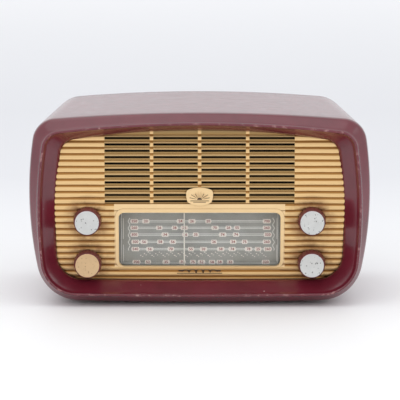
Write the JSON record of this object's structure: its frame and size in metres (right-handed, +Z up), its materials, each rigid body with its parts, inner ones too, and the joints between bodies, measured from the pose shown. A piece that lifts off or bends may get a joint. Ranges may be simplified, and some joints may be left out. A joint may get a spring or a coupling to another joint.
{
  "type": "table radio",
  "caption": "Bakelite valve table radio: rounded maroon cabinet, ribbed gold front with louvres, lit slide-rule dial with a pointer, fluted knobs and a chassis inside.",
  "frame": {"origin": "on the table under the middle of the cabinet, at the feet's undersides", "axes": "+X to the radio's right as the listener sees it, +Y from the front to the back, +Z up"},
  "size_m": [0.3526, 0.182, 0.2014],
  "materials": {
    "bakelite": "polished maroon bakelite",
    "gold_moulding": "satin gold lacquer",
    "knob_bakelite": "fluted maroon bakelite",
    "silver_cap": "spun, a little pitted",
    "brass_cap": "spun, worn lacquer",
    "clear_window": "clear",
    "dial_print": "printed grey dial",
    "pointer_enamel": "cream enamel",
    "plated_steel": "dull cadmium plate",
    "bright_steel": "turned",
    "chassis_steel": "grey passivated",
    "hardboard": "brown fibre board",
    "cloth": "woven",
    "cone_paper": "pulp",
    "magnet": "painted",
    "vane": "plain",
    "can": "drawn",
    "valve_glass": "clear, silvered tip",
    "brown_plastic": "paxolin",
    "laminations": "varnished",
    "rubber": "matt",
    "cord": "braided",
    "lamp_glass": "clear",
    "parts_wax": "waxed"
  },
  "bodies": {
    "case": {"cabinet": "bakelite", "front_panel": "gold_moulding", "badge": "gold_moulding", "front_screws": "plated_steel", "dial_window": "clear_window", "dial_plate": "dial_print", "dial_bracket": "plated_steel", "pointer_rail": "bright_steel", "dial_cord": "cord", "lamp_holders": "plated_steel", "dial_lamps": "lamp_glass", "speaker_baffle": "hardboard", "grille_cloth": "cloth", "speaker_basket": "plated_steel", "speaker_magnet": "magnet", "tuning_bush": "brass_cap", "volume_pot": "plated_steel", "tone_pot": "plated_steel", "band_switch": "brown_plastic", "control_nuts": "plated_steel", "gang_frame": "plated_steel", "gang_stator": "vane", "chassis": "chassis_steel", "power_transformer": "laminations", "output_transformer": "laminations", "if_can_1": "can", "if_can_2": "can", "electrolytic_can": "can", "mixer_valve": "valve_glass", "if_valve": "valve_glass", "detector_valve": "valve_glass", "output_valve": "valve_glass", "rectifier_valve": "valve_glass", "valve_sockets": "brown_plastic", "under_chassis_parts": "parts_wax", "terminal_block": "brown_plastic", "back_cover": "hardboard", "back_screws": "plated_steel", "mains_grommet": "rubber", "chassis_bolts": "plated_steel", "chassis_spacers": "rubber", "rubber_feet": "rubber"},
    "tuning_control": {"tuning_knob": "knob_bakelite", "tuning_knob_cap": "silver_cap", "tuning_shaft": "bright_steel"},
    "volume_control": {"volume_knob": "knob_bakelite", "volume_knob_cap": "silver_cap", "volume_shaft": "bright_steel"},
    "tone_control": {"tone_knob": "knob_bakelite", "tone_knob_cap": "brass_cap", "tone_shaft": "bright_steel"},
    "band_control": {"band_knob": "knob_bakelite", "band_knob_cap": "silver_cap", "band_shaft": "bright_steel"},
    "gang": {"gang_rotor": "vane", "dial_drum": "vane"},
    "pointer": {"dial_pointer": "pointer_enamel"},
    "pulley_left": {"idler_pulley_left": "brown_plastic"},
    "pulley_right": {"idler_pulley_right": "brown_plastic"},
    "cone": {"speaker_cone": "cone_paper"}
  },
  "joints": [
    {"name": "gang_turn", "type": "hinge", "parent": "case", "child": "gang", "pos_m": [0, -0.02, 0.056], "axis": [0, 1, 0], "range_deg": [-68.49, 111.13]},
    {"name": "tuning", "type": "hinge", "parent": "case", "child": "tuning_control", "pos_m": [0.116, -0.08, 0.089], "axis": [0, 1, 0], "range_deg": [-590, 956.69]},
    {"name": "pulley_left_turn", "type": "hinge", "parent": "case", "child": "pulley_left", "pos_m": [-0.084, -0.05, 0.0985], "axis": [0, 1, 0], "range_deg": [-590, 956.69]},
    {"name": "pulley_right_turn", "type": "hinge", "parent": "case", "child": "pulley_right", "pos_m": [0.084, -0.05, 0.0985], "axis": [0, 1, 0], "range_deg": [-590, 956.69]},
    {"name": "pointer_slide", "type": "slide", "parent": "case", "child": "pointer", "axis": [1, 0, 0], "range_m": [-0.0516, 0.0836]},
    {"name": "volume", "type": "hinge", "parent": "case", "child": "volume_control", "pos_m": [-0.116, -0.08, 0.089], "axis": [0, 1, 0], "range_deg": [-60, 240]},
    {"name": "tone", "type": "hinge", "parent": "case", "child": "tone_control", "pos_m": [-0.116, -0.08, 0.0437], "axis": [0, 1, 0], "range_deg": [-150, 150]},
    {"name": "band_select", "type": "hinge", "parent": "case", "child": "band_control", "pos_m": [0.116, -0.08, 0.0437], "axis": [0, 1, 0], "range_deg": [-30, 30]},
    {"name": "cone_travel", "type": "slide", "parent": "case", "child": "cone", "axis": [0, -1, 0], "range_m": [-0.0008, 0.0008], "stiffness_N_per_m": 1500}
  ],
  "couplings": [
    {"joint": "tuning", "follows": "gang_turn", "ratio": 8.6},
    {"joint": "pulley_left_turn", "follows": "gang_turn", "ratio": 8.6},
    {"joint": "pulley_right_turn", "follows": "gang_turn", "ratio": 8.6},
    {"joint": "pointer_slide", "follows": "gang_turn", "m_per_rad": 0.043}
  ]
}
